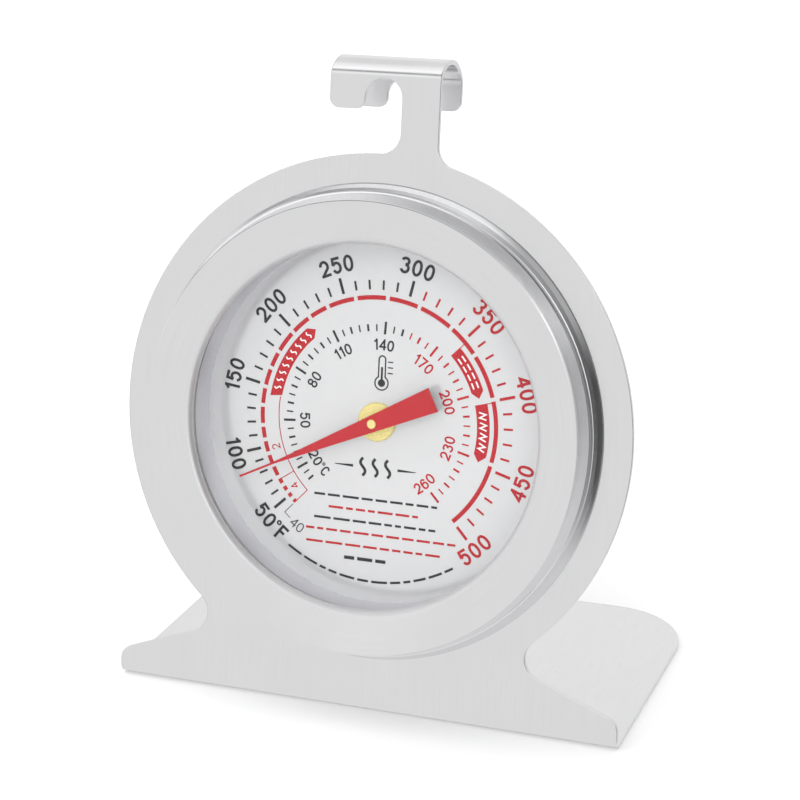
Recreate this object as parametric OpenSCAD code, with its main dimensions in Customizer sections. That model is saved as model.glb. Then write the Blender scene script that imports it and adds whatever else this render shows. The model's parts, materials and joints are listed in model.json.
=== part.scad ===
// Oven thermometer. A dial case sits in a stamped sheet stand with a rack hook on top.
// Millimetres. +Z is up, the dial faces -Y, and the origin is the middle of the base's underside.
// Most pieces are drawn in the dial's own frame: X to the right, Y up the plate, Z out of the
// dial, with zero at the plate's front face on the dial's axis.

/* [Stand] */
// Radius of the round plate
plate_r = 38; // [30:0.1:50]
// Thickness of the stand's sheet
sheet_t = 0.7; // [0.5:0.05:1.2]
// How far the plate leans back, in degrees
lean_deg = 10; // [0:1:20]
// Height of the dial's axis above the front fold, measured along the plate
axis_h = 42.1; // [36:0.1:60]
// Width of the foot and the base
foot_w = 76.6; // [60:0.1:100]
// Depth of the base from the front fold to its rear edge
base_d = 45.5; // [30:0.1:70]
// Radius of the base's rear corners
base_corner_r = 12; // [1:0.5:20]
// Inside radius of the front fold
fold_r = 0.9; // [0.4:0.1:2]
// Height at the foot's outer ends where its sloping top edge starts
foot_tip_h = 4.05; // [2:0.05:8]
// Slope of the foot's top edge, in degrees
foot_slope = 20.5; // [10:0.5:30]
// Radius of the foot's outer corners
foot_corner_r = 2; // [0.5:0.1:3]
// Radius of the hollow between foot and round plate
foot_hollow_r = 3.2; // [1:0.1:6]

/* [Rack hook] */
// Width of the hook
hook_w = 16.2; // [10:0.1:30]
// Width of the stem, flush with the hook's right side
stem_w = 5.5; // [4:0.1:10]
// Width of the slot for a crossing wire
slot_w = 5.5; // [4:0.1:10]
// Gap inside the hook, which is the largest rack wire it takes
hook_gap = 7.9; // [5:0.1:12]
// Height of the hook's front bend above the round plate
bend_h = 10.5; // [8:0.1:20]
// Outer radius of the front bend
front_bend_r = 1.5; // [1:0.1:3]
// Outer radius of the rear bend
rear_bend_r = 2; // [1:0.1:3]
// Outer radius of the crown between the bends
crown_r = 5.52; // [5.4:0.02:6.5]
// Depth of the crown's centre behind the front face
crown_d = 4.4; // [4:0.1:5]
// Height of the tabs' lower ends above the round plate
tab_h = 6; // [3:0.1:9]
// Radius of the tabs' corners
tab_corner_r = 1.4; // [0.3:0.1:2]
// Radius where the stem meets the round plate
stem_root_r = 3; // [1:0.1:6]

/* [Case] */
// Radius of the case behind the plate
case_r = 30.7; // [25:0.1:35]
// Depth of the case behind the plate's front face
case_depth = 10.2; // [8:0.1:16]
// Thickness of the case and bezel sheet
case_t = 0.5; // [0.3:0.05:1]
// Outer radius of the bezel's front
bezel_r = 32; // [28:0.1:36]
// Height of the bezel's front in front of the plate
bezel_h = 6.1; // [4:0.1:10]
// Radius of the window
window_r = 25.85; // [20:0.05:30]
// Width of the rounding at the window's edge
window_edge = 0.9; // [0.2:0.05:1.2]
// Depth of that rounding, from the bezel's face to the glass
window_curl = 1; // [0.5:0.05:1.4]
// How far the bezel's face dips towards the window
bezel_dip = 1.45; // [0:0.05:3]
// Thickness of the glass
glass_t = 1.3; // [1:0.1:3]

/* [Dial and pointer] */
// Depth of the dial's face behind the plate's front face
dial_depth = 2.5; // [1:0.1:4]
// Radius of the dial
dial_r = 30; // [25:0.1:35]
// Inside radius of the spacer ring
spacer_r = 26.3; // [20:0.05:30]
// Length of the pointer from the axis to its tip
pointer_len = 22.3; // [15:0.1:25]
// Length of the pointer's tail
pointer_tail = 10; // [4:0.1:15]
// Width of the pointer at the end of its tail
pointer_tail_w = 3.6; // [1:0.05:6]
// Width of the straight needle at the pointer's tip
needle_w = 0.3; // [0.2:0.05:0.6]
// Length of the straight needle
needle_len = 6; // [2:0.1:10]
// Direction of the pointer at rest, clockwise from straight up
pointer_rest = -116; // [-135:1:140]

/* [Movement] */
// Radius of the spindle
spindle_r = 0.5; // [0.3:0.05:1]
// Radial clearance of the spindle in its two bearings
running_gap = 0.05; // [0.01:0.01:0.1]
// Number of turns of the bimetal coil
coil_turns = 6; // [3:1:8]
// Distance between the coil's turns
coil_pitch = 1.45; // [1:0.05:2]
// Thickness of the coil's strip
coil_t = 0.45; // [0.2:0.05:0.8]
// Width of the coil's strip
coil_w = 2.6; // [1:0.1:4]

/* [Hidden] */
$fn = 96;
// Lets a fillet's circle cross the edges it meets, where an exact touch would leave slivers
snug = 0.002;
half_foot = foot_w / 2;
foot_tip_y = foot_tip_h - axis_h;
fold_outer = fold_r + sheet_t;
// The fold's centre is as far from the base's underside as from the plate's front face
fold_y = fold_outer / tan((90 - lean_deg) / 2);
base_mid = base_d / 2;
bend_y = plate_r + bend_h;
tab_y = plate_r + tab_h;
hook_d = hook_gap + 2 * sheet_t;
// The crown meets the two bends smoothly, which sets the heights of its centre and of the rear bend
crown_y = bend_y - sqrt(pow(crown_r - front_bend_r, 2) - pow(crown_d - front_bend_r, 2));
rear_y = crown_y + sqrt(pow(crown_r - rear_bend_r, 2) - pow(hook_d - crown_d - rear_bend_r, 2));
slot_x0 = hook_w / 2 - stem_w - slot_w;
slot_x1 = slot_x0 + slot_w;
hole_r = case_r + 0.1;
// Heights in front of the plate, in the dial's frame
window_z = bezel_h - bezel_dip;
glass_front = window_z - window_curl;
glass_back = glass_front - glass_t;
gasket_t = 0.3;
spacer_top = glass_back - gasket_t;
shoulder_z = 2.35;
dial_z = -dial_depth;
dial_t = 0.5;
bridge_z = dial_z - dial_t;
bridge_t = 0.6;
bridge_x = 13.4;
bridge_back = -8.6;
coil_z = -7.9;
coil_r0 = 2.4;
coil_end = coil_r0 + coil_turns * coil_pitch;
bush_r = 1.6;
blade_z = -0.55;
blade_t = 0.35;
rivet_r = 0.67;

// ---- Placing ----

module lean() {
    translate([0, -base_mid, 0]) rotate([-lean_deg, 0, 0]) children();
}

module at_dial() {
    lean() translate([0, 0, axis_h]) rotate([90, 0, 0]) children();
}

module lathe(points) {
    at_dial() rotate_extrude() polygon(points);
}

module disc(r, z0, z1) {
    translate([0, 0, z0]) cylinder(r = r, h = z1 - z0);
}

module ring(r0, r1, z0, z1) {
    difference() {
        disc(r1, z0, z1);
        disc(r0, z0 - 1, z1 + 1);
    }
}

// ---- Stand ----

// What is cut off a square corner at the origin, whose sheet lies towards +X and +Y
module corner(r) {
    difference() {
        translate([-1, -1]) square(r + 1);
        translate([r, r]) circle(r + snug);
    }
}

// Fillet between the foot's top edge and the round plate. The centre is where a circle of this
// radius touches both, at the distance t along the edge from the foot's tip.
module foot_hollow() {
    r = foot_hollow_r;
    sn = sin(foot_slope);
    cs = cos(foot_slope);
    px = half_foot + r * sn;
    py = foot_tip_y + r * cs;
    b = py * sn - px * cs;
    t = -b - sqrt(b * b - px * px - py * py + pow(plate_r + r, 2));
    cx = px - t * cs;
    cy = py + t * sn;
    k = 0.9 * plate_r / (plate_r + r);
    difference() {
        polygon([[cx, cy], [k * cx, k * cy], [cx - 3 * r, cy - 0.5 * r], [cx - 2 * r * sn, cy - 2 * r * cs]]);
        translate([cx, cy]) circle(r + snug);
    }
}

// Right half of the foot, with its outer corner rounded
module foot_half() {
    r = foot_corner_r;
    k = r * tan((90 - foot_slope) / 2);
    difference() {
        polygon([[0, -axis_h - 2], [half_foot, -axis_h - 2], [half_foot, foot_tip_y],
                 [0, foot_tip_y + half_foot * tan(foot_slope)]]);
        difference() {
            polygon([[half_foot + 1, foot_tip_y - k], [half_foot + 1, foot_tip_y + 1],
                     [half_foot - k * cos(foot_slope) + sin(foot_slope),
                      foot_tip_y + k * sin(foot_slope) + cos(foot_slope)],
                     [half_foot - r, foot_tip_y - k]]);
            translate([half_foot - r, foot_tip_y - k]) circle(r + snug);
        }
    }
    foot_hollow();
}

// Fillet where the stem meets the round plate, on the side that sgn points to
module stem_root(x, sgn) {
    r = stem_root_r;
    cx = x + sgn * r;
    cy = sqrt(pow(plate_r + r, 2) - cx * cx);
    k = 0.95 * plate_r / (plate_r + r);
    difference() {
        polygon([[x - sgn, cy], [cx, cy], [k * cx, k * cy], [x - sgn, cy - 2 * r]]);
        translate([cx, cy]) circle(r + snug);
    }
}

// A tab that hangs from a bend, with two rounded lower corners
module tab(x0, x1) {
    difference() {
        translate([x0, tab_y]) square([x1 - x0, bend_y - tab_y]);
        translate([x0, tab_y]) corner(tab_corner_r);
        translate([x1, tab_y]) mirror([1, 0]) corner(tab_corner_r);
    }
}

// The strip over the slot for a crossing wire. The slot's top is a half circle.
module slot_head() {
    r = slot_w / 2;
    y = bend_y - 0.1 - r;
    difference() {
        translate([slot_x0 - 1, y]) square([slot_w + 2, bend_y - y]);
        translate([slot_x0 + r, y]) circle(r);
    }
}

module front_outline() {
    circle(plate_r);
    foot_half();
    mirror([1, 0]) foot_half();
    translate([slot_x1, 30]) square([stem_w, bend_y - 30]);
    stem_root(slot_x1, -1);
    stem_root(hook_w / 2, 1);
    tab(-hook_w / 2, slot_x0);
    slot_head();
}

module rear_outline() {
    tab(-hook_w / 2, slot_x0);
    tab(slot_x1, hook_w / 2);
    slot_head();
}

// Side view of all that lies under the hook's surface, or deeper than that by inset, down to
// height low. X is along the plate, Y is out of the dial.
module hook_inside(inset, low) {
    middle = [crown_y, -crown_d];
    front = [bend_y, -front_bend_r];
    rear = [rear_y, rear_bend_r - hook_d];
    translate(front) circle(front_bend_r - inset);
    translate(rear) circle(rear_bend_r - inset);
    intersection() {
        translate(middle) circle(crown_r - inset - snug);
        polygon([middle, middle + 3 * (front - middle), middle + [20, 0], middle + 3 * (rear - middle)]);
    }
    polygon([[low, -inset], [bend_y, -inset], front, middle + [0.5, 0], rear,
             [rear_y, inset - hook_d], [low, inset - hook_d]]);
}

// The crown over the rack wire and the leg behind it, with the leg's tabs cut out
module hook() {
    wide = hook_w + 2;
    intersection() {
        translate([-wide / 2, 0, 0]) rotate([90, 0, 90]) linear_extrude(wide) difference() {
            hook_inside(0, tab_y - 1);
            hook_inside(sheet_t, tab_y - 2);
            translate([tab_y - 2, -hook_d / 2]) square([bend_y - tab_y + 2, hook_d]);
        }
        translate([0, 0, -hook_d - 1]) linear_extrude(hook_d + 2) {
            rear_outline();
            translate([-hook_w / 2, bend_y - 0.05]) square([hook_w, crown_r]);
        }
    }
}

// Side view of plate, fold and base as one bent sheet. X is along the plate, Y is out of the dial.
module bent_profile() {
    turn = 90 + lean_deg;
    function at(r, a) = [fold_y - axis_h - r * sin(a), r * cos(a) - fold_outer];
    back = (base_d - fold_y) * [-cos(turn), -sin(turn)];
    steps = [0:turn / 20:turn + 0.001];
    polygon(concat(
        [[bend_y, 0]], [for (a = steps) at(fold_outer, a)],
        [at(fold_outer, turn) + back, at(fold_r, turn) + back],
        [for (a = steps) at(fold_r, turn - a)], [[bend_y, -sheet_t]]));
}

// The bent sheet, cut to the front outline, to the base's outline and to the hole for the case
module bent_sheet() {
    wide = foot_w + 20;
    difference() {
        intersection() {
            at_dial() translate([-wide / 2, 0, 0]) rotate([90, 0, 90]) linear_extrude(wide) bent_profile();
            union() {
                at_dial() translate([0, 0, -3]) linear_extrude(5) front_outline();
                translate([0, 0, -1]) linear_extrude(2) base_outline();
            }
        }
        at_dial() disc(hole_r, -2, 1);
    }
}

module base_outline() {
    r = base_corner_r;
    difference() {
        translate([-half_foot, 1.5 - base_mid]) square([foot_w, base_d + 1]);
        translate([0, base_mid]) for (m = [0, 1]) mirror([m, 0]) translate([half_foot, 0])
            mirror([0, 1]) mirror([1, 0]) difference() {
                translate([-1, -3]) square([r + 1, r + 3]);
                translate([r, r]) circle(r + snug);
            }
    }
}

module stand() {
    color([0.80, 0.80, 0.81]) {
        bent_sheet();
        at_dial() hook();
    }
}

// ---- Case and window ----

module case_cup() {
    t = case_t;
    step_r = case_r - 2.4;
    ledge = bridge_z;
    back = -case_depth;
    outer = [[0, back], [step_r - 1.5, back], [step_r - 0.44, back + 0.44], [step_r, back + 1.5],
             [step_r, ledge - 1.3], [step_r + 0.2, ledge - 0.75], [step_r + 0.8, ledge - t],
             [case_r - 0.7, ledge - t], [case_r - 0.2, ledge - 0.3], [case_r, ledge + 0.2],
             [case_r, 0], [34, 0], [33.85, 0.35], [33.35, 1.1], [33, 1.8], [32.95, 2.15],
             [32.75, shoulder_z], [31.6, shoulder_z], [31.6, 5]];
    inner = [[31.1, 5], [31.1, shoulder_z - t], [32.3, shoulder_z - t], [32.5, 1.5],
             [32.9, 0.8], [33.05, t], [case_r - t, t], [case_r - t, ledge + 0.2],
             [case_r - t - 0.1, ledge], [step_r + 0.6, ledge], [step_r - 0.1, ledge - 0.35],
             [step_r - t, ledge - 1.1], [step_r - t, back + 1.5], [step_r - 0.8, back + 0.8],
             [step_r - 1.5, back + t], [0, back + t]];
    color([0.72, 0.72, 0.74]) difference() {
        lathe(concat(outer, inner));
        at_dial() for (a = [45:90:315]) rotate([0, 0, a]) translate([20, 0, back - 1])
            cylinder(r = 1.25, h = 3);
    }
}

module case_lock_ring() {
    color([0.62, 0.62, 0.64]) at_dial() ring(case_r, case_r + 3, -sheet_t - 1, -sheet_t);
}

module bezel_ring() {
    face = bezel_r - 0.2;
    color([0.80, 0.80, 0.81]) lathe([
        for (a = [0 : 15 : 75])
            [window_r + window_edge * (1 - cos(a)), glass_front + window_curl * sin(a)],
        [face, bezel_h], [bezel_r - 0.04, bezel_h - 0.09], [bezel_r, bezel_h - 0.3],
        [bezel_r + 0.72, 2.95], [bezel_r + 0.92, 2.8],
        [bezel_r + 1, 2.6], [bezel_r + 0.92, 2.42], [bezel_r + 0.8, shoulder_z],
        [bezel_r + 0.32, shoulder_z], [bezel_r - 0.44, bezel_h - 0.65],
        [face - 0.4, bezel_h - case_t - 0.05],
        [window_r + 1.3, window_z - 0.35], [window_r + case_t, glass_front]]);
}

module glass_lens() {
    color([0.9, 0.95, 0.95, 0.35]) at_dial() disc(30.8, glass_back, glass_front);
}

module lens_gasket() {
    color([0.15, 0.15, 0.16]) at_dial() ring(spacer_r + 0.15, 30.8, spacer_top, glass_back);
}

module spacer_ring() {
    t = 0.5;
    color([0.75, 0.75, 0.78]) lathe([
        [spacer_r, dial_z], [spacer_r + t, dial_z], [spacer_r + t, spacer_top - t],
        [30.9, spacer_top - t], [30.9, spacer_top], [spacer_r, spacer_top]]);
}

// ---- Dial ----

module dial_plate() {
    color([0.88, 0.89, 0.89]) at_dial() ring(bush_r, dial_r, bridge_z, dial_z);
}

module dial_bush() {
    bore = spindle_r + running_gap;
    color([0.85, 0.68, 0.25]) lathe([
        [bore, -5], [bush_r, -5], [bush_r, dial_z], [2.8, dial_z], [2.8, dial_z + 0.35],
        [2.65, dial_z + 0.5], [bore, dial_z + 0.5]]);
}

module bush_nut() {
    color([0.80, 0.64, 0.25]) at_dial() translate([0, 0, bridge_z - bridge_t - 1.1]) difference() {
        cylinder(r = 2.9, h = 1.1, $fn = 6);
        translate([0, 0, -1]) cylinder(r = bush_r, h = 4);
    }
}

// ---- Movement ----

module coil_bridge() {
    w = 7;
    top = bridge_z - bridge_t;
    color([0.68, 0.68, 0.70]) at_dial() difference() {
        union() {
            translate([-bridge_x, -w / 2, top]) cube([2 * bridge_x, w, bridge_t]);
            translate([-bridge_x, -w / 2, bridge_back - bridge_t]) cube([2 * bridge_x, w, bridge_t]);
            for (x = [-bridge_x, bridge_x - bridge_t])
                translate([x, -w / 2, bridge_back - bridge_t])
                    cube([bridge_t, w, bridge_z - bridge_back + bridge_t]);
        }
        disc(bush_r, top - 1, 0);
        disc(1.2, bridge_back - 2, bridge_back + 1);
        translate([bridge_x - 3, 1.7, coil_z + coil_w / 2]) rotate([0, 90, 0]) cylinder(r = 0.6, h = 6);
    }
}

module rear_bearing() {
    bore = spindle_r + running_gap;
    back = bridge_back - bridge_t;
    color([0.85, 0.68, 0.25]) lathe([
        [bore, back - 0.1], [1.2, back - 0.1], [1.2, bridge_back], [1.9, bridge_back],
        [1.9, bridge_back + 0.4], [bore, bridge_back + 0.4]]);
}

// A half turn of the coil, above the X axis for side 1 and below it for side -1
module half_turn(x, r, side) {
    translate([x, 0]) difference() {
        circle(r + coil_t / 2);
        circle(r - coil_t / 2);
        translate([-2 * r, side > 0 ? -4 * r : 0]) square([4 * r, 4 * r]);
    }
}

module bimetal_coil() {
    color([0.70, 0.66, 0.58]) at_dial() translate([0, 0, coil_z]) linear_extrude(coil_w) {
        for (i = [0:coil_turns - 1]) {
            half_turn(0, coil_r0 + i * coil_pitch, 1);
            half_turn(coil_pitch / 2, coil_r0 + (i + 0.5) * coil_pitch, -1);
        }
        translate([coil_end - coil_t / 2, 0]) square([coil_t, 3]);
    }
}

module coil_collet() {
    color([0.82, 0.66, 0.27]) at_dial() ring(spindle_r, coil_r0 - coil_t / 2, coil_z - 0.2, coil_z + coil_w + 0.3);
}

module coil_anchor() {
    x = coil_end + coil_t / 2;
    len = bridge_x - bridge_t - x;
    color([0.82, 0.66, 0.27]) at_dial() difference() {
        translate([x, 0.5, coil_z]) cube([len, 2.4, coil_w]);
        translate([x - 1, 1.7, coil_z + coil_w / 2]) rotate([0, 90, 0]) cylinder(r = 0.6, h = 6);
    }
}

module coil_rivet() {
    x = coil_end + coil_t / 2;
    color([0.62, 0.60, 0.58]) at_dial() translate([x, 1.7, coil_z + coil_w / 2]) rotate([0, 90, 0]) {
        cylinder(r = 0.6, h = bridge_x - x + 0.1);
        translate([0, 0, bridge_x - x]) cylinder(r = 1.1, h = 0.5);
    }
}

module spindle() {
    color([0.66, 0.66, 0.68]) at_dial() disc(spindle_r, bridge_back - bridge_t - 0.3, blade_z);
}

// ---- Pointer ----

module pointer_hub() {
    color([0.88, 0.72, 0.30]) lathe([
        [spindle_r, -1.75], [1.3, -1.75], [1.3, blade_z], [rivet_r, blade_z],
        [rivet_r, blade_z + blade_t + 0.08], [rivet_r - 0.12, blade_z + blade_t + 0.16],
        [0, blade_z + blade_t + 0.2], [0, blade_z], [spindle_r, blade_z]]);
}

module pointer() {
    w = pointer_tail_w / 2;
    n = needle_w / 2;
    root = pointer_len - needle_len;
    color([0.80, 0.12, 0.14]) at_dial() rotate([0, 0, -pointer_rest]) difference() {
        translate([0, 0, blade_z]) linear_extrude(blade_t) polygon([
            [-w, -pointer_tail], [w, -pointer_tail], [n, root], [n, pointer_len], [-n, pointer_len],
            [-n, root]]);
        disc(rivet_r, blade_z - 1, blade_z + 1);
    }
}

stand();
case_cup();
case_lock_ring();
bezel_ring();
glass_lens();
lens_gasket();
spacer_ring();
dial_plate();
dial_bush();
bush_nut();
coil_bridge();
rear_bearing();
bimetal_coil();
coil_collet();
coil_anchor();
coil_rivet();
spindle();
pointer_hub();
pointer();
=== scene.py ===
"""Looks of the oven thermometer: print on the dial, materials, floor, lights and camera."""

import json
import math
import random

import bmesh
import bpy
from mathutils import Matrix, Vector
from mathutils.geometry import delaunay_2d_cdt


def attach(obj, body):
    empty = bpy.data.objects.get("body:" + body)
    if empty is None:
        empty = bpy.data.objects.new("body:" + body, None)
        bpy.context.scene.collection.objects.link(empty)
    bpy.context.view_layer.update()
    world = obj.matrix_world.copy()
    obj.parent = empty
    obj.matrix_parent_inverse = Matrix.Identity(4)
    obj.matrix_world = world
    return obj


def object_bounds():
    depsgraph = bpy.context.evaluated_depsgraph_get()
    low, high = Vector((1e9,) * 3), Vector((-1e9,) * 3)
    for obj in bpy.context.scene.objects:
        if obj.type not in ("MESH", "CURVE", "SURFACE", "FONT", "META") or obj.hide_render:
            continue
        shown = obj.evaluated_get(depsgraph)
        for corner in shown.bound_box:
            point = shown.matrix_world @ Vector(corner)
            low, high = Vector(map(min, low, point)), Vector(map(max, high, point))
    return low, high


MM = 0.001
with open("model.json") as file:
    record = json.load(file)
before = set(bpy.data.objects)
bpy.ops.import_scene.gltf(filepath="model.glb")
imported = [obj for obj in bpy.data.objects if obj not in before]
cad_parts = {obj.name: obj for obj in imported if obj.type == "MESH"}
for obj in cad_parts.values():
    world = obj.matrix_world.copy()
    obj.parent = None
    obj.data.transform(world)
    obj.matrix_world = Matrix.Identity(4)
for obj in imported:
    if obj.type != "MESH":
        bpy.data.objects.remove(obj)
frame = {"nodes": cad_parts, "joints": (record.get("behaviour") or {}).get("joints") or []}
cad_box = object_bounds()
nodes = frame["nodes"]
scene = bpy.context.scene
rng = random.Random(11)

# ---------------------------------------------------------------- dial frame
# x to the right, y up the plate, u out of the dial, all in millimetres from the pointer's axis.
joint = next(j for j in frame["joints"] if j["name"] == "pointer_turn")
centre = Vector(joint["pos_m"])
out = -Vector(joint["axis"])
right = Vector((1, 0, 0))
up = out.cross(right)
dial_turn = Matrix((right, up, out)).transposed().to_4x4()
dial_frame = Matrix.Translation(centre) @ dial_turn @ Matrix.Scale(MM, 4)

DIAL_FACE = -2.5  # where the dial's front is along u
INK = 0.02  # thickness of one layer of ink

# ---------------------------------------------------------------- flat shapes
SAME_POINT = 1e-9
MERGE_WITHIN = 1e-5
MITRE_LIMIT = 0.35


def arc(cx, cy, rx, ry, start, end, steps=14):
    """Points of an elliptical arc, in degrees, anticlockwise from +x."""
    turn = [math.radians(start + (end - start) * i / steps) for i in range(steps + 1)]
    return [(cx + rx * math.cos(a), cy + ry * math.sin(a)) for a in turn]


def wave(x, y, width, height, steps):
    """Points of one full wave that rises from a foot at x, y."""
    return [(x + width * math.sin(i / steps * 2 * math.pi), y + height * i / steps)
            for i in range(steps + 1)]


def box(x0, y0, x1, y1):
    return [(x0, y0), (x1, y0), (x1, y1), (x0, y1)]


def ribbon(points, width, closed=False):
    """The quads of a line of that width, mitred at its points."""
    pts = [Vector(p) for p in points]
    if closed and (pts[0] - pts[-1]).length < SAME_POINT:
        pts.pop()
    n = len(pts)
    sides = []
    for i, p in enumerate(pts):
        before = pts[i - 1] if closed or i else None
        after = pts[(i + 1) % n] if closed or i < n - 1 else None
        a = (p - before).normalized() if before is not None else (after - p).normalized()
        b = (after - p).normalized() if after is not None else a
        na, nb = Vector((-a.y, a.x)), Vector((-b.y, b.x))
        m = (na + nb).normalized()
        m *= width / 2 / max(MITRE_LIMIT, m.dot(na))
        sides.append((p + m, p - m))
    ends = [(i, (i + 1) % n) for i in range(n if closed else n - 1)]
    return [[sides[i][0], sides[i][1], sides[j][1], sides[j][0]] for i, j in ends]


def merged(polygons):
    """Corner points and triangles of the shape that overlapping polygons cover together."""
    points, faces = [], []
    for polygon in polygons:
        faces.append(list(range(len(points), len(points) + len(polygon))))
        points += [Vector(p) for p in polygon]
    co, _, tris, _, _, origin = delaunay_2d_cdt(points, [], faces, 0, MERGE_WITHIN)
    kept = [t for t, o in zip(tris, origin) if o]
    used = sorted({v for t in kept for v in t})
    number = {v: i for i, v in enumerate(used)}
    tris = []
    for t in kept:
        a, b, c = (co[v] for v in t)
        t = [number[v] for v in t]
        tris.append(t if (b - a).cross(c - a) > 0 else t[::-1])
    return [co[v].copy() for v in used], tris


class Print:
    """Ink on the dial: flat shapes, each a thin closed solid."""

    def __init__(self, name, low=DIAL_FACE):
        self.name, self.low, self.high, self.shapes = name, low, low + INK, []

    def add(self, shape, place=lambda p: p):
        co, tris = shape
        self.shapes.append(([place(p) for p in co], tris))

    def finish(self, material, slot):
        bm = bmesh.new()
        for co, tris in self.shapes:
            bottom = [bm.verts.new((p[0], p[1], self.low)) for p in co]
            top = [bm.verts.new((p[0], p[1], self.high)) for p in co]
            edges = {}
            for t in tris:
                bm.faces.new([top[i] for i in t])
                bm.faces.new([bottom[i] for i in reversed(t)])
                for a, b in zip(t, t[1:] + t[:1]):
                    edges[a, b] = True
            for a, b in edges:
                if (b, a) not in edges:
                    bm.faces.new((bottom[a], bottom[b], top[b], top[a]))
        bm.transform(dial_frame)
        mesh = bpy.data.meshes.new(self.name)
        bm.to_mesh(mesh)
        bm.free()
        mesh.materials.append(material)
        obj = bpy.data.objects.new(self.name, mesh)
        scene.collection.objects.link(obj)
        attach(obj, "housing")
        return obj


# ---------------------------------------------------------------- signs
ROUND = 0.36  # height of the round ends of 0, 6 and C, as a part of the sign's height
WAIST = 0.04  # how far above their middle 3 and 8 pull in, as a part of their height
NARROW = {"1": 0.62, "o": 0.42}  # room that a narrow sign takes, as a part of a wide one's


def strokes(char, w, h, t):
    """Centre lines of one sign in a w by h box around its middle, with strokes t wide.

    Each comes with whether it is closed. The sign "o" is the degree sign."""
    x0, x1, y0, y1 = -(w - t) / 2, (w - t) / 2, -(h - t) / 2, (h - t) / 2
    end = h * ROUND
    waist = h * WAIST
    upper, lower = (y1 - waist) / 2, (waist - y0) / 2
    if char == "0":
        return [(arc(0, y1 - end, x1, end, 0, 180) + arc(0, y0 + end, x1, end, 180, 360), True)]
    if char == "1":
        return [([(0.12 * w, -h / 2), (0.12 * w, h / 2)], False),
                ([(-0.24 * w, y1 - 0.2 * h), (0.12 * w, y1 - 0.01 * h)], False)]
    if char == "2":
        bowl = h * 0.28
        foot = (x0 + t * 0.1, y0 + t * 0.1)
        return [(arc(0, y1 - bowl, x1, bowl, 172, -28, 18) + [foot], False),
                ([(-w / 2, y0), (w / 2, y0)], False)]
    if char == "3":
        return [(arc(0, waist + upper, x1 * 0.92, upper, 165, -90, 16), False),
                (arc(0, y0 + lower, x1, lower, 90, -165, 18), False)]
    if char == "4":
        x, y = 0.24 * w, -0.2 * h
        return [([(x, -h / 2), (x, h / 2)], False),
                ([(x, y1), (x0, y), (w / 2, y)], False)]
    if char == "5":
        bowl = (0.16 * h - y0) / 2
        return [([(w * 0.42, y1), (x0 + 0.08 * w, y1), (x0 + 0.02 * w, 0.02 * h)], False),
                (arc(0, y0 + bowl, x1, bowl, 152, -160, 20), False)]
    if char == "6":
        bowl = (0.12 * h - y0) / 2
        return [(arc(0, y0 + bowl, x1, bowl, 0, 360, 24), True),
                (arc(0, y1 - end, x1, end, 32, 180, 12) + [(x0, y0 + bowl)], False)]
    if char == "7":
        return [([(-w / 2, y1), (x1, y1), (-0.12 * w, -h / 2)], False)]
    if char == "8":
        return [(arc(0, waist + upper, x1 * 0.9, upper, 0, 360, 22), True),
                (arc(0, y0 + lower, x1, lower, 0, 360, 24), True)]
    if char == "C":
        return [(arc(0, y1 - end, x1, end, 30, 180) + arc(0, y0 + end, x1, end, 180, 330), False)]
    if char == "F":
        stem = x0 + 0.06 * w
        return [([(w * 0.45, y1), (stem, y1), (stem, -h / 2)], False),
                ([(stem, 0.04 * h), (w * 0.3, 0.04 * h)], False)]
    if char == "o":
        r = h * 0.11
        return [(arc(0, y1 - r, r, r, 0, 360, 16), True)]
    raise ValueError(char)


glyphs = {}


def glyph(char, w, h, t):
    key = (char, w, h, t)
    if key not in glyphs:
        glyphs[key] = merged([quad for line, closed in strokes(char, w, h, t)
                              for quad in ribbon(line, t, closed)])
    return glyphs[key]


def at_polar(angle, radius, flip=False):
    """Places a shape on the dial, its middle at that clockwise angle from the top.

    Its top points outward, or inward where flip is set."""
    a = math.radians(angle)
    s = -1 if flip else 1
    across, outward = Vector((math.cos(a), -math.sin(a))), Vector((math.sin(a), math.cos(a)))

    def place(p):
        return outward * radius + s * (across * p[0] + outward * p[1])

    return place


def write(ink, text, angle, radius, size, flip=False):
    """Signs along an arc, with their middle at angle."""
    w, h, t, gap = size
    widths = [NARROW.get(c, 1) * w for c in text]
    x = -(sum(widths) + gap * (len(text) - 1)) / 2
    for c, cw in zip(text, widths):
        turn = math.degrees((x + cw / 2) / radius)
        ink.add(glyph(c, w, h, t), at_polar(angle + (-turn if flip else turn), radius, flip))
        x += cw + gap


def sector(r0, r1, a0, a1, steps=None):
    """A piece of a ring between two clockwise angles."""
    steps = steps or max(2, int(abs(a1 - a0) / 2))
    line = arc(0, 0, (r0 + r1) / 2, (r0 + r1) / 2, 90 - a0, 90 - a1, steps)
    return merged(ribbon(line, r1 - r0))


def tick(ink, angle, r0, r1, width):
    ink.add(merged([box(-width / 2, r0, width / 2, r1)]), at_polar(angle, 0))


# ---------------------------------------------------------------- scales
black, red = Print("print_black"), Print("print_red")
white = Print("print_white", DIAL_FACE + INK)

# Clockwise angle from the top of each 50 degree mark. The scale widens with temperature.
MARKS = {50: -133, 100: -107.8, 150: -78.2, 200: -48.2, 250: -18.3,
         300: 12.7, 350: 44, 400: 74.5, 450: 106.4, 500: 137.3}
RED_ABOVE_F, RED_ABOVE_C = 300, 150

# Ticks: their inner and outer radius and their width.
F_LONG, F_SHORT = (18.7, 21.0, 0.42), (18.85, 20.2, 0.31)
C_LONG, C_SHORT, C_FINE = (12.6, 14.4, 0.34), (12.95, 13.95, 0.3), (12.95, 13.95, 0.21)
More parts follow.
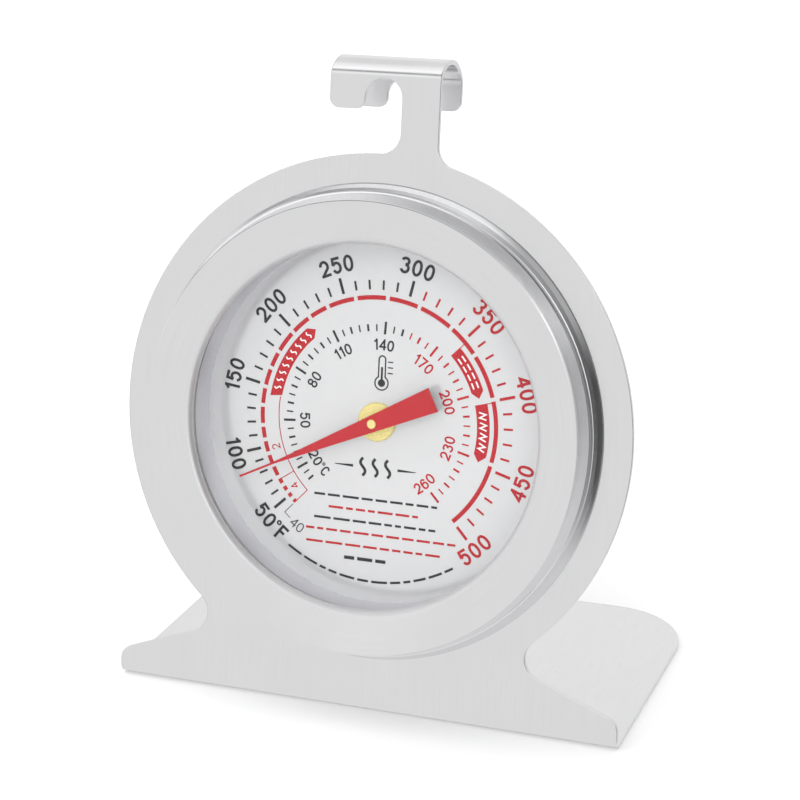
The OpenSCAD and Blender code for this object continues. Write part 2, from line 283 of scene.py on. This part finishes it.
# Signs: their width, height, stroke and gap. Then the radius of their middles.
F_SIGN, F_DEGREE = (1.5, 2.4, 0.41, 0.36), (1.5, 2.4, 0.26, 0.36)
C_SIGN, C_DEGREE = (1.02, 1.6, 0.26, 0.18), (1.02, 1.6, 0.16, 0.18)
F_RADIUS, F_DEGREE_RADIUS, C_RADIUS = 22.85, 22.75, 11.1


def angle_of(f):
    """The scale's angle at a temperature in F."""
    low = min(450, max(50, int(f // 50) * 50))
    return MARKS[low] + (MARKS[low + 50] - MARKS[low]) * (f - low) / 50


def number(ink, value, angle, radius, size):
    """A number that stands upright in the lower half of the dial too."""
    write(ink, str(value), angle, radius, size, abs(angle) > 90)


for f in range(50, 501, 10):
    ink = red if f > RED_ABOVE_F else black
    angle = angle_of(f)
    if f % 50 == 0:
        tick(ink, angle, *F_LONG)
        number(ink, f, angle, F_RADIUS, F_SIGN)
    else:
        tick(ink, angle, *F_SHORT)
write(black, "o", -138.6, F_DEGREE_RADIUS, F_DEGREE, True)
write(black, "F", -141.8, F_RADIUS, F_SIGN, True)

for c in range(10, 261, 5):
    ink = red if c > RED_ABOVE_C else black
    angle = angle_of(c * 1.8 + 32)
    if c % 30 == 20:
        tick(ink, angle, *C_LONG)
        number(ink, c, angle, C_RADIUS, C_SIGN)
    else:
        tick(ink, angle, *(C_SHORT if c % 10 == 0 else C_FINE))
write(black, "o", -131.6, C_RADIUS, C_DEGREE, True)
write(black, "C", -136.4, C_RADIUS, C_SIGN, True)

# ---------------------------------------------------------------- ranges between the scales
# A broken band inside the outer ticks. These are the middles of its gaps.
GAPS = (-137.8, -134.9, -131.2, -127.3, -123.1, -116.9, -111.1, -104.4, -97.5, -88, -79.1, -69.7,
        -61, -49.2, -38, -27.6, -13.1, 2.6, 18.3, 35.9, 52.2, 73.9, 103.9, 138.3)
HALF_GAP = 0.9
for a, b in zip(GAPS, GAPS[1:]):
    red.add(sector(17.42, 18.05, a + HALF_GAP, b - HALF_GAP))

# Fine outlines of the two lowest ranges, each with its number.
FINE = 0.13
RANGE_FOOT = 15.1
red.add(sector(RANGE_FOOT, RANGE_FOOT + FINE, -137.2, -82))
for angle, head in ((-137.1, 18.0), (-124.3, 17.5)):
    tick(red, angle, RANGE_FOOT, head, FINE)
write(red, "4", -131, 16.3, (0.8, 1.15, 0.15, 0.1))
write(red, "2", -108.8, 16.3, (0.8, 1.3, 0.15, 0.1))

# Tabs of the three higher ranges.
TAB_STEPS = 16
TAB_HEAD = 0.55  # length of the pointed head, as a part of the tab's height
LEADER = (16.6, 17.5, FINE)


def tab(a0, a1, r0, r1, slant):
    """A red tab between two clockwise angles, with a slanted tail and a pointed head."""
    mid = (r0 + r1) / 2
    tip = math.degrees((r1 - r0) * TAB_HEAD / mid)
    lower = arc(0, 0, r0, r0, 90 - a0 - slant, 90 - a1 + tip, TAB_STEPS)
    upper = arc(0, 0, r1, r1, 90 - a0, 90 - a1 + tip, TAB_STEPS)
    quads = [[lower[i], lower[i + 1], upper[i + 1], upper[i]] for i in range(TAB_STEPS)]
    quads.append([lower[-1], arc(0, 0, mid, mid, 90 - a1, 90 - a1, 1)[0], upper[-1]])
    red.add(merged(quads))


def zigzag(width, height):
    return [(-width / 2, -height / 2), (-width / 6, height / 2),
            (width / 6, -height / 2), (width / 2, height / 2)]


tab(a0=-82.6, a1=-38.8, r0=14.95, r1=16.75, slant=1.6)
small_wave = merged(ribbon(wave(0, -1.05 / 2, width=0.2, height=1.05, steps=12), 0.2))
for i in range(9):
    white.add(small_wave, at_polar(-77.5 + 4.2 * i, 15.85))

tab(a0=45.2, a1=72.2, r0=14.9, r1=16.7, slant=0)
tick(red, 45.4, *LEADER)
for i in range(4):
    for middle in (15.8 - 0.36, 15.8 + 0.36):
        white.add(sector(middle - 0.11, middle + 0.11, 49 + 4.8 * i, 52.4 + 4.8 * i, 3))

tab(a0=75.2, a1=105.2, r0=14.95, r1=16.8, slant=0)
tick(red, 75.4, *LEADER)
small_zigzag = merged(ribbon(zigzag(width=1.15, height=0.95), 0.2))
for i in range(4):
    white.add(small_zigzag, at_polar(81.2 + 5.4 * i, 15.87))

# Small mark below the first tick, with its leader.
black.add(sector(20.1, 20.2, -140.4, -137.1))
tick(black, -137.1, 18.3, 20.2, 0.11)
write(black, "40", -144.6, 20.2, (0.98, 1.5, 0.17, 0.16), True)

# ---------------------------------------------------------------- small print and signs
# Dashes of uneven length stand for the lines of small print.
DASH_LENGTHS, DASH_GAP, LAST_DASH = (0.9, 2.6), 0.45, 0.5
DASH, BOLD_DASH = 0.34, 0.5
ROWS = (  # ink, left end, right end, foot and height
    (black, -9.2, 9.6, -11.55, DASH),
    (red, -6.9, 6.8, -13.25, DASH),
    (black, -9.1, 9.5, -14.95, DASH),
    (red, -10.3, 12.6, -16.65, DASH),
    (red, -10.2, 11.2, -18.55, DASH),
    (black, -4.2, 2.6, -20.5, BOLD_DASH),
)
for ink, x, end, y, height in ROWS:
    while x < end - LAST_DASH:
        length = min(rng.uniform(*DASH_LENGTHS), end - x)
        ink.add(merged([box(x, y, x + length, y + height)]))
        x += length + DASH_GAP

# Curved row of dashes along the foot of the dial, anticlockwise.
FOOT_START, FOOT_END, FOOT_GAP, FOOT_LENGTHS = -146.5, -212.5, 1.2, (2.4, 6.0)
a = FOOT_START
while a > FOOT_END + 1.5:
    b = a - rng.uniform(*FOOT_LENGTHS)
    black.add(sector(23.2, 23.55, a, max(b, FOOT_END)))
    a = b - FOOT_GAP

# A plain thermometer sign above the axis: outline, bulb with its column, and three marks.
SIGN_X, BULB_Y = 0.4, 5.6
outline = arc(SIGN_X, BULB_Y, 1.0, 1.0, 120, 420, 20) + arc(SIGN_X, 9.0, 0.5, 0.5, 0, 180, 8)
black.add(merged(ribbon(outline, 0.2, True)))
bulb = arc(SIGN_X, BULB_Y, 0.55, 0.55, 0, 342, 18)
black.add(merged([bulb, box(SIGN_X - 0.15, BULB_Y, SIGN_X + 0.15, 7.9)]))
for y in (7.0, 7.8, 8.6):
    black.add(merged([box(1.25, y, 2.05, y + 0.18)]))

# Three heat waves below the axis, with a tapered stroke on each side.
for i in (-1, 0, 1):
    black.add(merged(ribbon(wave(1.9 * i, -8.0, width=0.38, height=2.6, steps=14), 0.42)))
TAPER = ((3.4, -6.9), (6.2, -6.75), (6.2, -6.65), (3.4, -6.5))
black.add(merged([[(-x, y) for x, y in reversed(TAPER)]]))
black.add(merged([TAPER]))


# ---------------------------------------------------------------- node helpers
class Nodes:
    """Adds nodes to a tree. An input is a value or another node's socket."""

    def __init__(self, tree):
        self.tree = tree

    def add(self, kind, inputs=None, **settings):
        node = self.tree.nodes.new(kind)
        for k, v in settings.items():
            setattr(node, k, v)
        for k, v in (inputs or {}).items():
            if isinstance(v, bpy.types.NodeSocket):
                self.tree.links.new(v, node.inputs[k])
            else:
                node.inputs[k].default_value = v
        return node

    def math(self, operation, a, b=0.0, clamp=False):
        settings = {"operation": operation, "use_clamp": clamp}
        return self.add("ShaderNodeMath", {0: a, 1: b}, **settings).outputs[0]

    def vector(self, operation, a, b=(0, 0, 0)):
        return self.add("ShaderNodeVectorMath", {0: a, 1: b}, operation=operation)

    def remap(self, value, start, end, low, high, **settings):
        """Takes start..end to low..high."""
        inputs = {"Value": value, "From Min": start, "From Max": end,
                  "To Min": low, "To Max": high}
        return self.add("ShaderNodeMapRange", inputs, **settings).outputs[0]

    def ramp(self, factor, stops):
        """Greys between the stops, each a place and a level."""
        node = self.add("ShaderNodeValToRGB", {0: factor})
        elements = node.color_ramp.elements
        while len(elements) < len(stops):
            elements.new(0.5)
        for element, (place, level) in zip(elements, stops):
            element.position = place
            element.color = (level, level, level, 1)
        return node.outputs[0]


class Material(Nodes):
    """A material with its tree, in millimetres."""

    def __init__(self, name):
        self.material = bpy.data.materials.new(name)
        self.material.use_nodes = True
        super().__init__(self.material.node_tree)
        self.tree.nodes.clear()
        self.output = self.add("ShaderNodeOutputMaterial")

    def noise(self, place, scale, detail=2.0, rough=0.5):
        inputs = {"Vector": place, "Scale": scale, "Detail": detail, "Roughness": rough}
        return self.add("ShaderNodeTexNoise", inputs).outputs["Fac"]

    def span(self, value, low, high, start=0.3, end=0.7):
        """Takes the usual range of a noise to low..high."""
        return self.remap(value, start, end, low, high)

    def mix(self, factor, a, b):
        return self.add("ShaderNodeMix", {0: factor, 6: a, 7: b}, data_type="RGBA").outputs[2]

    def blend(self, factor, first, second):
        """One shader node turning into another."""
        shaders = {1: first.outputs[0], 2: second.outputs[0]}
        return self.add("ShaderNodeMixShader", {0: factor, **shaders})

    def bump(self, height, strength, depth, **more):
        inputs = {"Strength": strength, "Distance": depth * MM, "Height": height, **more}
        return self.add("ShaderNodeBump", inputs).outputs[0]

    def principled(self, colour, roughness, **more):
        """More inputs by name, with _ for a space."""
        inputs = {"Base Color": colour, "Roughness": roughness}
        inputs.update((k.replace("_", " "), v) for k, v in more.items())
        return self.add("ShaderNodeBsdfPrincipled", inputs)

    def world_place(self):
        place = self.add("ShaderNodeTexCoord").outputs["Object"]
        return self.vector("MULTIPLY", place, (1 / MM,) * 3).outputs[0]

    def dial_place(self):
        """Position in the dial's frame."""
        place = self.add("ShaderNodeTexCoord").outputs["Object"]
        moved = self.vector("SUBTRACT", place, tuple(centre)).outputs[0]
        axes = [self.vector("DOT_PRODUCT", moved, tuple(axis / MM)).outputs["Value"]
                for axis in (right, up, out)]
        return self.add("ShaderNodeCombineXYZ", dict(enumerate(axes))).outputs[0]

    def polar(self, place):
        """The vector from the dial's axis, and its length."""
        flat = self.vector("MULTIPLY", place, (1, 1, 0)).outputs[0]
        return flat, self.vector("LENGTH", flat).outputs["Value"]

    def turned(self, place):
        """Coordinates that run fine across the radius and long around the axis."""
        flat, radius = self.polar(place)
        around = self.vector("NORMALIZE", flat).outputs[0]
        lines = self.vector("MULTIPLY", around, (2.2, 2.2, 0)).outputs[0]
        across = self.add("ShaderNodeCombineXYZ", {2: self.math("MULTIPLY", radius, 2.6)})
        return self.vector("ADD", lines, across.outputs[0]).outputs[0]

    def surface(self, shader):
        self.tree.links.new(shader.outputs[0], self.output.inputs["Surface"])
        return self.material


def tint(rgb, by=1.0):
    return tuple(min(1, c * by) for c in rgb) + (1,)


# ---------------------------------------------------------------- materials
GRAIN = {"plate": (2.6, 0.12, 0.3), "across": (0.15, 2.6, 2.6)}  # lines per mm along x, y and u
FINE_SHADE = 0.965  # of the grain's lines
RIM_DULLING, RIM_BLEND = 0.4, 0.7
# Painted light: how much lighter a metal is painted towards the lower of its two heights.
PAINTED_LIGHT_TINT = 1.18
# Painted highlight on edges: how far it reaches, how much of it is mixed in, and how much lighter
# it is.
EDGE_HIGHLIGHT_REACH, EDGE_HIGHLIGHT_MIX, EDGE_HIGHLIGHT_TINT = 3.0, 0.35, 1.12
METAL_BUMP = 0.35


def metal(name, rgb, rough, grain, depth, spread,
          edge=0.12, smudge=0.04, metallic=1.0, rim=None, painted_light_span=None):
    """Sheet or turned metal: grain in roughness and height, soft clouds, a painted edge highlight.

    depth is the grain's, in mm, and spread is how far it changes the roughness. edge is the
    edges' radius in mm. rim is a radius, in from which the metal gets duller.
    painted_light_span holds two heights out of the dial, between which the colour is painted
    lighter inward, as painted light."""
    m = Material(name)
    place = m.dial_place()
    if grain == "turned":
        lines = m.turned(place)
    else:
        lines = m.vector("MULTIPLY", place, GRAIN[grain]).outputs[0]
    fine = m.noise(lines, 1.0)
    cloud = m.noise(place, 0.11, 3.0)
    speck = m.noise(place, 0.8)
    colour = m.mix(m.span(cloud, 0, 1), tint(rgb, 1 - smudge), tint(rgb, 1 + smudge * 0.5))
    colour = m.mix(m.span(fine, 0, 0.5), colour, tint(rgb, FINE_SHADE))
    # Painted light: the colour gets lighter from the upper height down to the lower one.
    if painted_light_span:
        height = m.add("ShaderNodeSeparateXYZ", {0: place}).outputs[2]
        colour = m.mix(m.span(height, 1, 0, *painted_light_span), colour, tint(rgb, PAINTED_LIGHT_TINT))
    true = m.add("ShaderNodeNewGeometry").outputs["Normal"]
    soft = m.add("ShaderNodeBevel", {"Radius": edge * MM}, samples=8).outputs[0]
    # Painted highlight: edges, where the rounded normal turns away from the true one, are painted
    # lighter.
    edge_highlight = m.math("SUBTRACT", 1.0, m.vector("DOT_PRODUCT", soft, true).outputs["Value"])
    edge_highlight = m.math("MULTIPLY", edge_highlight, EDGE_HIGHLIGHT_REACH, clamp=True)
    colour = m.mix(m.math("MULTIPLY", edge_highlight, EDGE_HIGHLIGHT_MIX), colour, tint(rgb, EDGE_HIGHLIGHT_TINT))
    roughness = m.math("ADD", m.span(fine, rough - spread, rough + spread),
                       m.span(speck, -0.02, 0.03))
    roughness = m.math("ADD", roughness, m.span(cloud, -0.03, 0.03))
    if rim:
        duller = m.span(m.polar(place)[1], RIM_DULLING, 0.0, rim - RIM_BLEND, rim)
        roughness = m.math("ADD", roughness, duller)
    normal = m.bump(fine, METAL_BUMP, depth, Normal=soft)
    return m.surface(m.principled(colour, roughness, Metallic=metallic, Normal=normal))


def plastic(name, rgb, rough, other=None, size=0.5, depth=0.01):
    """Ink or rubber: mottled colour, uneven gloss and a fine orange peel."""
    m = Material(name)
    place = m.dial_place()
    mottle = m.noise(place, size, 3.0, 0.6)
    fine = m.noise(place, size * 9, 2.0, 0.6)
    colour = m.mix(m.span(mottle, 0, 1), tint(rgb), tint(other or [c * 0.86 for c in rgb]))
    roughness = m.math("ADD", m.span(mottle, rough - 0.05, rough + 0.05),
                       m.span(fine, -0.03, 0.03))
    return m.surface(m.principled(colour, roughness, Normal=m.bump(fine, 0.3, depth)))


def silver_print(name, rgb):
    """The dial's silver white ground: part paint, part metal, a little glossy."""
    m = Material(name)
    place = m.dial_place()
    cloud = m.noise(place, 0.12, 3.0)
    flake = m.noise(place, 1.6, 3.0, 0.6)
    colour = m.mix(m.span(cloud, 0, 1), tint(rgb, 0.99), tint(rgb, 1.01))
    colour = m.mix(m.span(flake, 0, 0.5), colour, tint(rgb, 0.975))
    roughness = m.math("ADD", m.span(flake, 0.14, 0.17), m.span(cloud, -0.02, 0.02))
    return m.surface(m.principled(colour, roughness, Metallic=m.span(cloud, 0.3, 0.36),
                                  Normal=m.bump(flake, 0.1, 0.001)))


def clear_glass(name):
    """Thin window glass: what is behind it shows through, and it mirrors a little."""
    m = Material(name)
    smear = m.noise(m.dial_place(), 0.09, 3.0, 0.6)
    clear = m.add("ShaderNodeBsdfTransparent", {"Color": (0.996, 0.998, 0.997, 1)})
    gloss = m.add("ShaderNodeBsdfGlossy",
                  {"Color": (1, 1, 1, 1), "Roughness": m.span(smear, 0.01, 0.06)})
    fresnel = m.add("ShaderNodeFresnel", {"IOR": 1.45}).outputs[0]
    return m.surface(m.blend(m.math("MULTIPLY", fresnel, 0.2), clear, gloss))


def painted_blade(name, rgb):
    """Paint on the front of the pointer, dull bare metal behind."""
    m = Material(name)
    place = m.dial_place()
    mottle = m.noise(place, 0.3, 3.0, 0.6)
    fine = m.noise(place, 2.7, 2.0, 0.6)
    colour = m.mix(m.span(mottle, 0, 1), tint(rgb), tint(rgb, 0.9))
    paint = m.principled(colour, m.span(mottle, 0.3, 0.4), Normal=m.bump(fine, 0.2, 0.004),
                         Coat_Weight=0.3, Coat_Roughness=0.12)
    colour = m.mix(m.span(fine, 0, 1), (0.34, 0.34, 0.36, 1), (0.27, 0.27, 0.29, 1))
    bare = m.principled(colour, m.span(mottle, 0.35, 0.45), Metallic=1.0)
    normal = m.add("ShaderNodeNewGeometry").outputs["Normal"]
    facing = m.vector("DOT_PRODUCT", normal, tuple(out)).outputs["Value"]
    return m.surface(m.blend(m.math("LESS_THAN", facing, -0.5), paint, bare))


RED = (0.475, 0.009, 0.016)
BRASS = (0.93, 0.80, 0.34)
STEEL = (0.88, 0.88, 0.89)
looks = {
    "stand": metal("stand_steel", STEEL, 0.22, "plate", 0.001, 0.02, edge=0.3, smudge=0.02),
    "case_cup": metal("case_steel", (0.85, 0.85, 0.86), 0.12, "turned", 0.001, 0.03),
    "case_lock_ring": metal("lock_ring_steel", (0.58, 0.58, 0.59), 0.3, "turned", 0.02, 0.06),
    "bezel_ring": metal("bezel_steel", STEEL, 0.16, "turned", 0.001, 0.015,
                        edge=0.06, smudge=0.02, rim=26.9),
    "glass_lens": clear_glass("window_glass"),
    "lens_gasket": plastic("gasket_rubber", (0.50, 0.50, 0.52), 0.55),
    # The spacer's wall is painted lighter towards the dial: painted light.
    "spacer_ring": metal("spacer_bright", (0.77, 0.77, 0.80), 0.48, "turned", 0.001, 0.04,
                         painted_light_span=(DIAL_FACE, 2.0)),
    "dial_plate": silver_print("dial_silver", (0.71, 0.71, 0.72)),
    "dial_bush": metal("bush_brass", BRASS, 0.25, "turned", 0.002, 0.04,
                       smudge=0.02, metallic=0.5),
    "bush_nut": metal("nut_brass", BRASS, 0.3, "turned", 0.02, 0.06),
    "coil_bridge": metal("bridge_plated", (0.66, 0.66, 0.68), 0.32, "across", 0.02, 0.06),
    "rear_bearing": metal("bearing_brass", BRASS, 0.28, "turned", 0.02, 0.05),
    "bimetal_coil": metal("bimetal_strip", (0.66, 0.60, 0.50), 0.3, "turned", 0.02, 0.06),
    "coil_anchor": metal("anchor_steel", (0.62, 0.62, 0.64), 0.32, "across", 0.02, 0.06),
    "coil_rivet": metal("rivet_steel", (0.66, 0.66, 0.68), 0.25, "turned", 0.02, 0.05),
    "coil_collet": metal("collet_brass", BRASS, 0.28, "turned", 0.02, 0.05),
    "spindle": metal("spindle_steel", (0.64, 0.64, 0.66), 0.2, "turned", 0.01, 0.04),
    "pointer_hub": metal("hub_brass", BRASS, 0.2, "turned", 0.002, 0.04,
                         smudge=0.02, metallic=0.5),
    "pointer": painted_blade("pointer_paint", RED),
}
for name, look in looks.items():
    materials = nodes[name].data.materials
    for i in range(len(materials)):
        materials[i] = look
    if not materials:
        materials.append(look)


def ink_look(name, rgb, other):
    return plastic(name, rgb, 0.35, other, size=1.2, depth=0.004)


black.finish(ink_look("ink_black", (0.018, 0.018, 0.020), (0.026, 0.026, 0.028)), "gasket_rubber")
red.finish(ink_look("ink_red", (0.48, 0.012, 0.020), (0.43, 0.009, 0.016)), "pointer_red")
white.finish(ink_look("ink_white", (0.85, 0.85, 0.84), (0.82, 0.82, 0.81)), "dial_silver")

# ---------------------------------------------------------------- floor
FLOOR = 40.0  # half its side, in metres, so that its end stays out of sight from low angles
FLOOR_GAP = 0.0001
bm = bmesh.new()
bmesh.ops.create_grid(bm, x_segments=24, y_segments=24, size=FLOOR)
floor_mesh = bpy.data.meshes.new("floor")
bm.to_mesh(floor_mesh)
bm.free()
floor = bpy.data.objects.new("floor", floor_mesh)
floor.location = (0, 0, cad_box[0][2] - FLOOR_GAP)
scene.collection.objects.link(floor)
paper = Material("floor_paper")
cloudy = paper.span(paper.noise(paper.world_place(), 0.01), 0, 1)
white_paper = paper.mix(cloudy, (0.93, 0.93, 0.93, 1), (0.91, 0.91, 0.91, 1))
floor_mesh.materials.append(paper.surface(
    paper.principled(white_paper, 0.8, Specular_IOR_Level=0.1)))
floor.visible_glossy = False

# ---------------------------------------------------------------- light
# A light tent: even in front, with panels overhead that run from side to side, so that its
# brightness depends on the angle round the X axis. In degrees, 0 is the front horizon and 90
# the zenith.
TENT = ((-180, 1.0), (-90, 1.0), (0, 1.0), (25, 1.0), (34, 1.3), (46, 1.25), (53, 0.42), (67, 0.42),
        (76, 1.45), (106, 1.4), (118, 0.95), (142, 0.97), (158, 1.14), (180, 1.05))
# Patches of the tent that are darker or brighter: azimuth and elevation, each as middle and half
# width at full and at no effect, in degrees, and the factor.
PATCHES = (
    ((95, 22, 64), (-5, 14, 42), 0.1),
    ((82, 34, 56), (42, 18, 40), 0.44),
    ((31, 8, 16), (23, 8, 16), 2.1),
)
PEAK = 1.5  # brings the brightest panel within the ramp
TENT_LIGHT = 0.80


def toward(azimuth, elevation):
    """Unit vector from the object, azimuth 0 to the front and 90 to the right."""
    a, e = math.radians(azimuth), math.radians(elevation)
    return Vector((math.sin(a) * math.cos(e), -math.cos(a) * math.cos(e), math.sin(e)))


world = bpy.data.worlds.new("studio")
scene.world = world
world.use_nodes = True
background = world.node_tree.nodes["Background"]
sky = Nodes(world.node_tree)


def band(value, middle, full, none):
    """1 near the middle of a range of angles, 0 outside it, with soft ends."""
    away = sky.math("ABSOLUTE", sky.math("SUBTRACT", value, math.radians(middle)))
    return sky.remap(away, math.radians(full), math.radians(none), 1.0, 0.0,
                     interpolation_type="SMOOTHSTEP")


gaze = sky.add("ShaderNodeTexCoord").outputs["Generated"]
x, y, z = sky.add("ShaderNodeSeparateXYZ", {0: gaze}).outputs
forward = sky.math("MULTIPLY", y, -1.0)
round_x = sky.remap(sky.math("ARCTAN2", z, forward), -math.pi, math.pi, 0.0, 1.0)
light = sky.ramp(round_x, [((a + 180) / 360, level / PEAK) for a, level in TENT])
azimuth = sky.math("ARCTAN2", x, forward)
elevation = sky.math("ARCSINE", z)
for across, above, factor in PATCHES:
    inside = sky.math("MULTIPLY", band(azimuth, *across), band(elevation, *above))
    light = sky.math("MULTIPLY", light, sky.remap(inside, 0.0, 1.0, 1.0, factor))
sky.tree.links.new(light, background.inputs["Color"])
background.inputs["Strength"].default_value = PEAK * TENT_LIGHT


def soft_panel(name, direction, strength, spread):
    """A large soft light that lights paint, print and floor but is not seen in the metal."""
    lamp = bpy.data.lights.new(name, "SUN")
    lamp.energy = strength
    lamp.angle = math.radians(spread)
    obj = bpy.data.objects.new(name, lamp)
    obj.rotation_euler = (-direction).to_track_quat("-Z", "Y").to_euler()
    obj.visible_glossy = False
    scene.collection.objects.link(obj)


soft_panel("top_panel", toward(-10, 68), 1.45, 85)
soft_panel("front_panel", toward(10, 12), 1.3, 60)

# ---------------------------------------------------------------- camera
AZIMUTH, ELEVATION, ROLL = 21.056, 19.224, -1.071  # in degrees
LENS, SENSOR, DISTANCE = 101.26665, 36.0, 322.515  # in millimetres
AIM = Vector((1.613, -8.0, 42.813)) * MM
back = toward(AZIMUTH, ELEVATION)
camera_data = bpy.data.cameras.new("camera")
camera_data.sensor_width = SENSOR
camera_data.lens = LENS
camera_data.clip_start = 0.01
camera = bpy.data.objects.new("camera", camera_data)
level_turn = (-back).to_track_quat("-Z", "Y").to_matrix().to_4x4()
camera_turn = level_turn @ Matrix.Rotation(math.radians(ROLL), 4, "Z")
camera.matrix_world = Matrix.Translation(AIM + back * DISTANCE * MM) @ camera_turn
scene.collection.objects.link(camera)
scene.camera = camera

scene.view_settings.view_transform = "Standard"
scene.view_settings.look = "None"
scene.view_settings.exposure = 0.0
